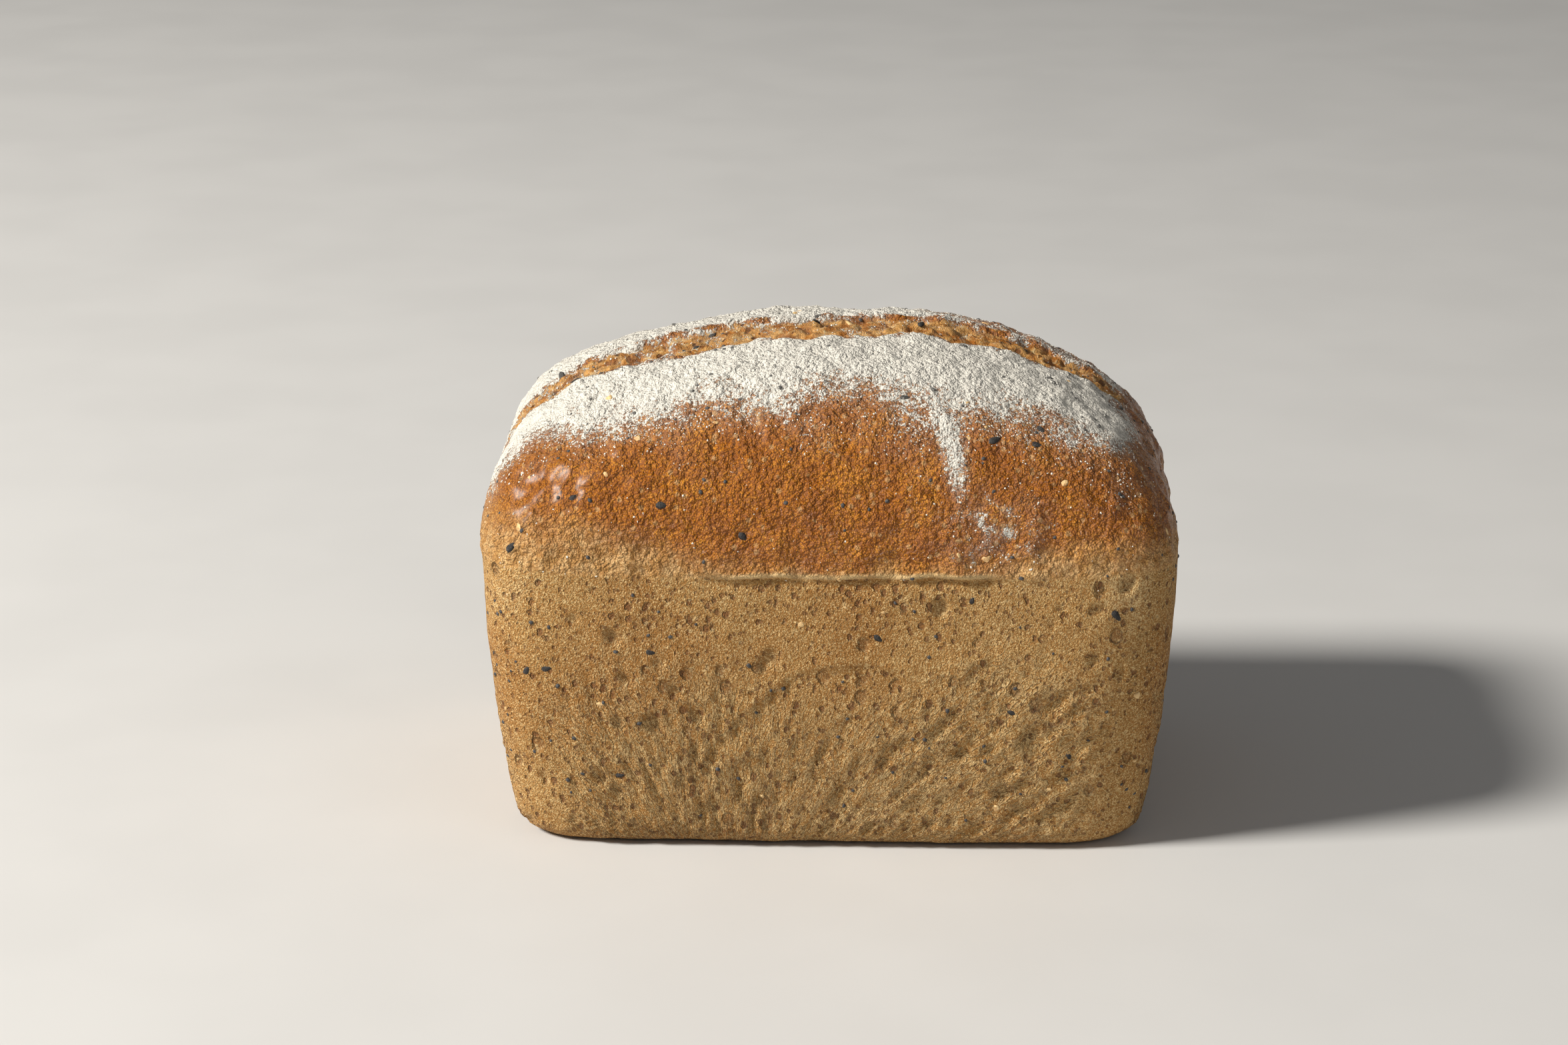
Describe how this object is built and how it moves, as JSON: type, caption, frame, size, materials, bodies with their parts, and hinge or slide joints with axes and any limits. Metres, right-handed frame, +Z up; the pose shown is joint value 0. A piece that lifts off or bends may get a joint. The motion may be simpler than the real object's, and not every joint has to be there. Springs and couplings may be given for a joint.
{
  "type": "tin loaf",
  "caption": "Loaf of seeded bread baked in a tin: straight tapered sides, a domed floured top and a slash along the crest, standing on its flat base.",
  "frame": {"origin": "middle of the flat base that the loaf stands on, under the middle of its box", "axes": "+X along the loaf, -Y the front long side, +Z up"},
  "size_m": [0.168, 0.114, 0.1184],
  "materials": {
    "crust": "baked bread crust: matte tan and pitted where the tin was, glossy golden brown above, white flour on the crown",
    "dark_seed": "black sesame and blue-black poppy seeds baked into the crust, satin",
    "pale_flake": "pale grain flakes baked into the crust, matte",
    "flour": "dry white flour in clots and grains on the crown, matte"
  },
  "bodies": {
    "root": {"loaf": "crust"}
  },
  "joints": []
}
